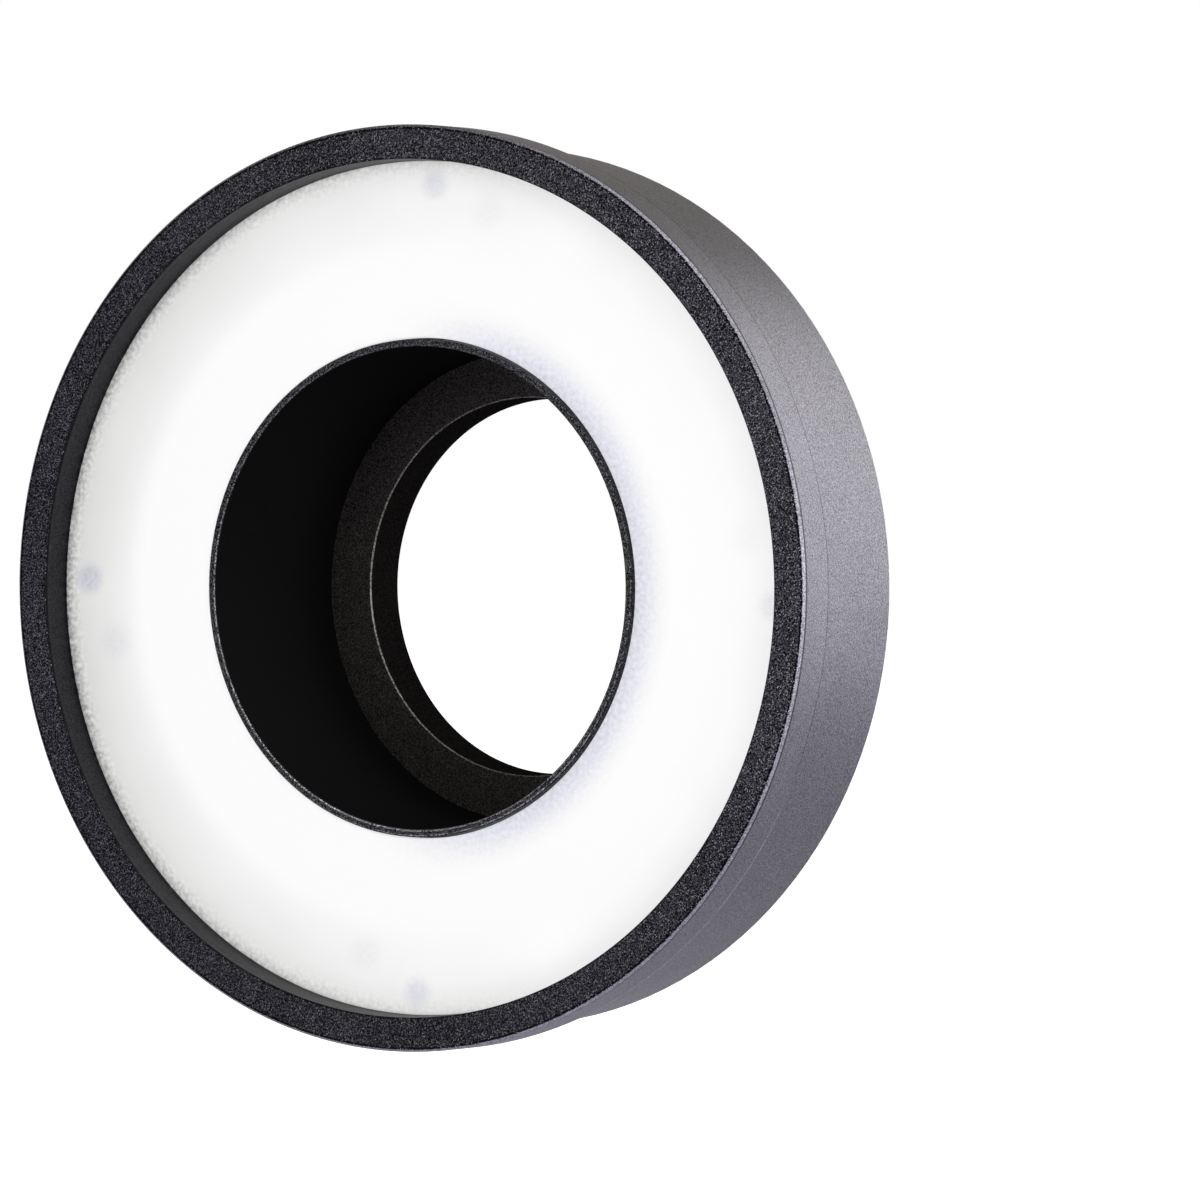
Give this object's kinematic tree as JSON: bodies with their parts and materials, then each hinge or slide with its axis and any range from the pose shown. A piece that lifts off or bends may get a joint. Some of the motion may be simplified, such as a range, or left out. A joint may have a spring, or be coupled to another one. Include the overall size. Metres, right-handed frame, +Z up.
{
  "type": "macro led ring light",
  "caption": "Round LED ring light for close-ups: charcoal metal housing, recessed opal diffuser round an open bore, filter-thread adapter with lock screws, dimmer knob and rocker switch behind.",
  "frame": {"origin": "on the ring's axis, on the seat of the filter-thread adapter that butts on the lens", "axes": "the ring's axis is Y: -Y is where the light shines, +Y is towards the lens; +Z up, and +X right as seen from the front"},
  "size_m": [0.14, 0.0461, 0.14],
  "materials": {
    "bezel_metal": "sandblasted charcoal anodised aluminium",
    "housing_metal": "fine sandblasted grey anodised aluminium",
    "tube_metal": "black anodised aluminium, blasted lip",
    "cover_metal": "sandblasted black anodised aluminium",
    "hub_metal": "turned black anodised aluminium",
    "adapter_metal": "turned black anodised aluminium",
    "opal": "opal acrylic, lit from behind",
    "white_plastic": "white moulded plastic",
    "board_white": "white solder mask on a metal core board",
    "led_phosphor": "phosphor under clear resin",
    "pad_grey": "grey silicone thermal pad",
    "screw_black": "black oxide steel",
    "screw_steel": "nickel plated steel",
    "screw_brass": "turned brass, knurled head",
    "pot_metal": "zinc plated steel",
    "knob_metal": "black anodised aluminium, fluted",
    "switch_plastic": "black moulded plastic",
    "rocker_plastic": "black moulded plastic, satin",
    "contact_metal": "tinned brass",
    "inlet_plastic": "black moulded plastic",
    "driver_green": "green solder mask on glass epoxy",
    "chip_black": "black epoxy package",
    "connector_white": "cream moulded nylon",
    "ferrite": "dark grey ferrite",
    "copper_wire": "enamelled copper winding",
    "capacitor_metal": "bare aluminium can"
  },
  "bodies": {
    "adapter": {"adapter_ring": "adapter_metal"},
    "lamp": {"front_bezel": "bezel_metal", "housing": "housing_metal", "diffuser": "opal", "inner_tube": "tube_metal", "light_spacer": "white_plastic", "diffuser_pillars": "white_plastic", "pillar_screws": "screw_steel", "led_board": "board_white", "leds": "led_phosphor", "thermal_pad": "pad_grey", "board_screws": "screw_steel", "rear_cover": "cover_metal", "cover_screws": "screw_black", "hub_ring": "hub_metal", "hub_screws": "screw_black", "dimmer_pot": "pot_metal", "pot_washer": "screw_steel", "pot_nut": "screw_steel", "switch_body": "switch_plastic", "switch_tabs": "contact_metal", "dc_socket": "inlet_plastic", "dc_pin": "contact_metal", "dc_nut": "screw_steel", "dc_tabs": "contact_metal", "driver_board": "driver_green", "driver_standoffs": "screw_steel", "driver_screws": "screw_steel", "driver_chip": "chip_black", "driver_diode": "chip_black", "lead_connector": "connector_white", "inductor_core": "ferrite", "inductor_winding": "copper_wire", "capacitors": "capacitor_metal"},
    "lock_a": {"lock_screw_a": "screw_brass"},
    "lock_b": {"lock_screw_b": "screw_brass"},
    "lock_c": {"lock_screw_c": "screw_brass"},
    "dimmer": {"dimmer_shaft": "pot_metal", "dimmer_knob": "knob_metal", "knob_grub_screw": "screw_black"},
    "rocker": {"switch_rocker": "rocker_plastic"}
  },
  "joints": [
    {"name": "lamp_swivel", "type": "hinge", "parent": "adapter", "child": "lamp", "pos_m": [0, 0, 0], "axis": [0, 1, 0], "continuous": true},
    {"name": "lock_a_slide", "type": "slide", "parent": "lamp", "child": "lock_a", "axis": [0.5, 0, 0.866], "range_m": [0, 0.002]},
    {"name": "lock_b_slide", "type": "slide", "parent": "lamp", "child": "lock_b", "axis": [-1, 0, 0], "range_m": [0, 0.002]},
    {"name": "lock_c_slide", "type": "slide", "parent": "lamp", "child": "lock_c", "axis": [0.5, 0, -0.866], "range_m": [0, 0.002]},
    {"name": "dimmer_turn", "type": "hinge", "parent": "lamp", "child": "dimmer", "pos_m": [-0.02825, -0.01155, 0.04893], "axis": [0, -1, 0], "range_deg": [0, 300]},
    {"name": "rocker_tilt", "type": "hinge", "parent": "lamp", "child": "rocker", "pos_m": [-0.02825, -0.01155, -0.04893], "axis": [0.5, 0, 0.866], "range_deg": [0, 18]}
  ]
}
